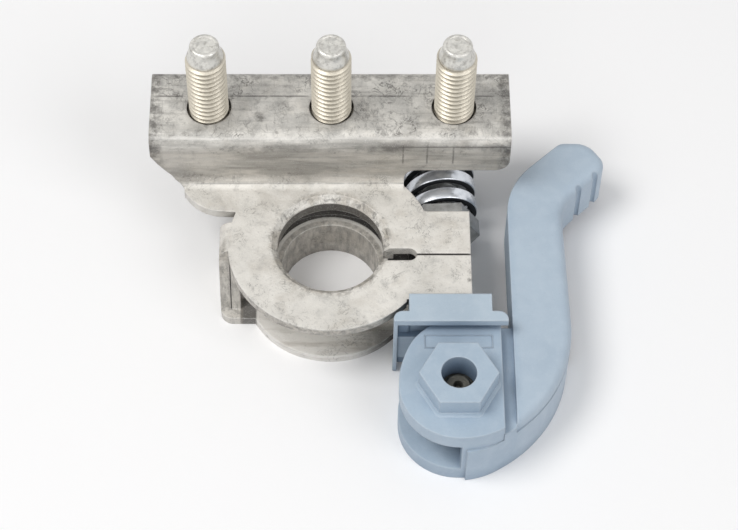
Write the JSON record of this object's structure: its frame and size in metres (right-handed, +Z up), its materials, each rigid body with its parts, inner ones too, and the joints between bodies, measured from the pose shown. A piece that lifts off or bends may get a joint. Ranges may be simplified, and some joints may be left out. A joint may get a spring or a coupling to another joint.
{
  "type": "battery terminal clamp with cam lever",
  "caption": "Quick-release battery terminal clamp: folded steel clamp body with threaded studs on a bar, spring-loaded tension bolt and a blue-grey plastic cam lever.",
  "frame": {"origin": "on the axis of the post bore, at the underside of the lower plate", "axes": "+Z up along the post bore and the studs, +Y from the bore to the stud bar, +X toward the lever's side"},
  "size_m": [0.0902, 0.0759, 0.0493],
  "materials": {
    "clamp_metal": "dull tin plating over stamped steel, speckled and lightly stained",
    "stud_steel": "plated thread, warm grey",
    "bolt_steel": "bright zinc",
    "spring_steel": "bright, bluish",
    "lever_plastic": "moulded, matt blue-grey",
    "block_plastic": "moulded, matt blue-grey"
  },
  "bodies": {
    "clamp": {"clamp_body": "clamp_metal", "stud_left": "stud_steel", "stud_middle": "stud_steel", "stud_right": "stud_steel", "pressure_block": "block_plastic", "spring_seat": "bolt_steel", "spring": "spring_steel"},
    "bolt": {"eye_bolt": "bolt_steel", "spring_washer": "bolt_steel", "lock_nut": "bolt_steel"},
    "cam_lever": {"lever": "lever_plastic", "pivot_pin": "bolt_steel", "pin_retainer": "bolt_steel"}
  },
  "joints": [
    {"name": "bolt_slide", "type": "slide", "parent": "clamp", "child": "bolt", "axis": [-0.0454, 0.999, 0], "range_m": [0, 0.0016], "deforming": ["spring"]},
    {"name": "lever_pivot", "type": "hinge", "parent": "bolt", "child": "cam_lever", "pos_m": [0.0241, -0.0313, 0], "axis": [0, 0, 1], "range_deg": [-145, 0]}
  ],
  "couplings": [
    {"joint": "lever_pivot", "follows": "bolt_slide", "rad_per_m": -1581.7}
  ]
}
